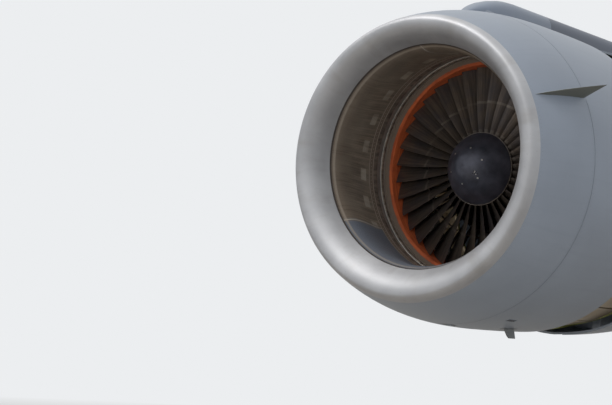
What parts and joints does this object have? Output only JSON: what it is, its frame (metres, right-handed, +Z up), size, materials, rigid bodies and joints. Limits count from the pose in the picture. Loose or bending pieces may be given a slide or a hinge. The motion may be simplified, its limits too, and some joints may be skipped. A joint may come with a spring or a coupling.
{
  "type": "jet engine",
  "caption": "High-bypass turbofan in its nacelle under a pylon: wide-bladed fan in a round inlet, opening cowls, cascade thrust reverser shown deployed, core with hot nozzle and plug.",
  "frame": {"origin": "centre of the wing pad's top face, on top of the pylon, over the engine's centre plane", "axes": "+Y along the engine axis from the inlet to the exhaust, +Z up through the wing pad, +X to the right of a viewer in front of the inlet"},
  "size_m": [3.14, 5.712, 3.226],
  "materials": {
    "inlet_lip": "satin bare aluminium, lightly polished",
    "nacelle_paint": "satin blue-grey paint with fine seams",
    "pylon_paint": "satin slate-grey paint",
    "strake_paint": "satin grey paint, dark underside",
    "acoustic_liner": "perforated acoustic panels, grey-brown with streaks",
    "abradable": "matt rust-orange abradable lining",
    "fan_titanium": "dark satin titanium",
    "spinner_paint": "satin charcoal coat",
    "case_alloy": "machined alloy, satin",
    "hot_metal": "heat-tinted nickel alloy",
    "core_skin": "brushed titanium skin",
    "primer": "yellow-green primer",
    "cascade_alloy": "cast and machined alloy, light tan",
    "door_paint": "satin grey paint",
    "rotor_steel": "machined alloy steel",
    "bearing_steel": "ground bearing steel",
    "accessory_paint": "grey enamel on cast housings"
  },
  "bodies": {
    "root": {"pylon_beam": "primer", "pylon_fairing": "pylon_paint", "pylon_prow": "pylon_paint", "pylon_tail": "pylon_paint", "top_apron": "nacelle_paint", "front_mount": "primer", "rear_mount": "primer", "thrust_links": "case_alloy", "inlet_lip": "inlet_lip", "inlet_skin": "nacelle_paint", "inlet_barrel": "acoustic_liner", "inlet_bulkhead": "primer", "inlet_flange": "case_alloy", "strakes": "strake_paint", "fan_rub_strip": "abradable", "fan_case": "case_alloy", "guide_vanes": "case_alloy", "fan_frame": "case_alloy", "compressor_case": "case_alloy", "combustor_case": "hot_metal", "combustor_liner": "hot_metal", "fuel_manifold": "case_alloy", "turbine_case": "hot_metal", "exhaust_case": "hot_metal", "core_nozzle": "hot_metal", "exhaust_plug": "hot_metal", "gearbox": "accessory_paint", "starter": "accessory_paint", "generator": "accessory_paint", "fuel_pump": "accessory_paint", "oil_tank": "case_alloy", "bearings": "bearing_steel", "reverser_frame_right": "primer", "reverser_frame_left": "primer", "cascades_right": "cascade_alloy", "cascades_left": "cascade_alloy", "core_cowl_right": "core_skin", "core_cowl_left": "core_skin"},
    "low_spool": {"spinner": "spinner_paint", "fan_disc": "fan_titanium", "fan_blades": "fan_titanium", "booster_rotor": "rotor_steel", "shaft": "rotor_steel", "low_turbine": "rotor_steel"},
    "core_spool": {"compressor_rotor": "rotor_steel", "high_turbine": "rotor_steel"},
    "fan_cowl_right": {"fan_cowl_right": "nacelle_paint", "cowl_latches": "nacelle_paint"},
    "fan_cowl_left": {"fan_cowl_left": "nacelle_paint"},
    "sleeve_right": {"sleeve_right": "nacelle_paint"},
    "door_right_1": {"door_right_1": "door_paint"},
    "door_right_2": {"door_right_2": "door_paint"},
    "door_right_3": {"door_right_3": "door_paint"},
    "door_right_4": {"door_right_4": "door_paint"},
    "sleeve_left": {"sleeve_left": "nacelle_paint"},
    "door_left_1": {"door_left_1": "door_paint"},
    "door_left_2": {"door_left_2": "door_paint"},
    "door_left_3": {"door_left_3": "door_paint"},
    "door_left_4": {"door_left_4": "door_paint"}
  },
  "joints": [
    {"name": "low_spool_turn", "type": "hinge", "parent": "root", "child": "low_spool", "pos_m": [0, -2.95, -1.7], "axis": [0, 1, 0], "continuous": true},
    {"name": "core_spool_turn", "type": "hinge", "parent": "root", "child": "core_spool", "pos_m": [0, -2.244, -1.7], "axis": [0, 1, 0], "continuous": true},
    {"name": "fan_cowl_right_hinge", "type": "hinge", "parent": "root", "child": "fan_cowl_right", "pos_m": [0.192, -2.7, -0.25966], "axis": [0, -1, 0], "range_deg": [0, 45]},
    {"name": "fan_cowl_left_hinge", "type": "hinge", "parent": "root", "child": "fan_cowl_left", "pos_m": [-0.192, -2.7, -0.25966], "axis": [0, 1, 0], "range_deg": [0, 45]},
    {"name": "sleeve_right_slide", "type": "slide", "parent": "root", "child": "sleeve_right", "axis": [0, -1, 0], "range_m": [0, 0.78]},
    {"name": "sleeve_left_slide", "type": "slide", "parent": "root", "child": "sleeve_left", "axis": [0, -1, 0], "range_m": [0, 0.78]},
    {"name": "door_right_1_hinge", "type": "hinge", "parent": "sleeve_right", "child": "door_right_1", "pos_m": [0.62584, -1.185, -0.81283], "axis": [0.8266, 0, -0.5628], "range_deg": [0, 85.1]},
    {"name": "door_right_2_hinge", "type": "hinge", "parent": "sleeve_right", "child": "door_right_2", "pos_m": [1.07284, -1.185, -1.43951], "axis": [0.263, 0, -0.9648], "range_deg": [0, 85.1]},
    {"name": "door_right_3_hinge", "type": "hinge", "parent": "sleeve_right", "child": "door_right_3", "pos_m": [1.00575, -1.185, -2.20634], "axis": [-0.4266, 0, -0.9045], "range_deg": [0, 85.1]},
    {"name": "door_right_4_hinge", "type": "hinge", "parent": "sleeve_right", "child": "door_right_4", "pos_m": [0.45672, -1.185, -2.74588], "axis": [-0.9118, 0, -0.4107], "range_deg": [0, 85.1]},
    {"name": "door_left_1_hinge", "type": "hinge", "parent": "sleeve_left", "child": "door_left_1", "pos_m": [-0.62584, -1.185, -0.81283], "axis": [0.8266, 0, 0.5628], "range_deg": [0, 85.1]},
    {"name": "door_left_2_hinge", "type": "hinge", "parent": "sleeve_left", "child": "door_left_2", "pos_m": [-1.07284, -1.185, -1.43951], "axis": [0.263, 0, 0.9648], "range_deg": [0, 85.1]},
    {"name": "door_left_3_hinge", "type": "hinge", "parent": "sleeve_left", "child": "door_left_3", "pos_m": [-1.00575, -1.185, -2.20634], "axis": [-0.4266, 0, 0.9045], "range_deg": [0, 85.1]},
    {"name": "door_left_4_hinge", "type": "hinge", "parent": "sleeve_left", "child": "door_left_4", "pos_m": [-0.45672, -1.185, -2.74588], "axis": [-0.9118, 0, 0.4107], "range_deg": [0, 85.1]}
  ],
  "couplings": [
    {"joint": "sleeve_left_slide", "follows": "sleeve_right_slide", "ratio": 1},
    {"joint": "door_right_1_hinge", "follows": "sleeve_right_slide", "rad_per_m": 1.902},
    {"joint": "door_right_2_hinge", "follows": "sleeve_right_slide", "rad_per_m": 1.902},
    {"joint": "door_right_3_hinge", "follows": "sleeve_right_slide", "rad_per_m": 1.902},
    {"joint": "door_right_4_hinge", "follows": "sleeve_right_slide", "rad_per_m": 1.902},
    {"joint": "door_left_1_hinge", "follows": "sleeve_right_slide", "rad_per_m": 1.902},
    {"joint": "door_left_2_hinge", "follows": "sleeve_right_slide", "rad_per_m": 1.902},
    {"joint": "door_left_3_hinge", "follows": "sleeve_right_slide", "rad_per_m": 1.902},
    {"joint": "door_left_4_hinge", "follows": "sleeve_right_slide", "rad_per_m": 1.902}
  ]
}
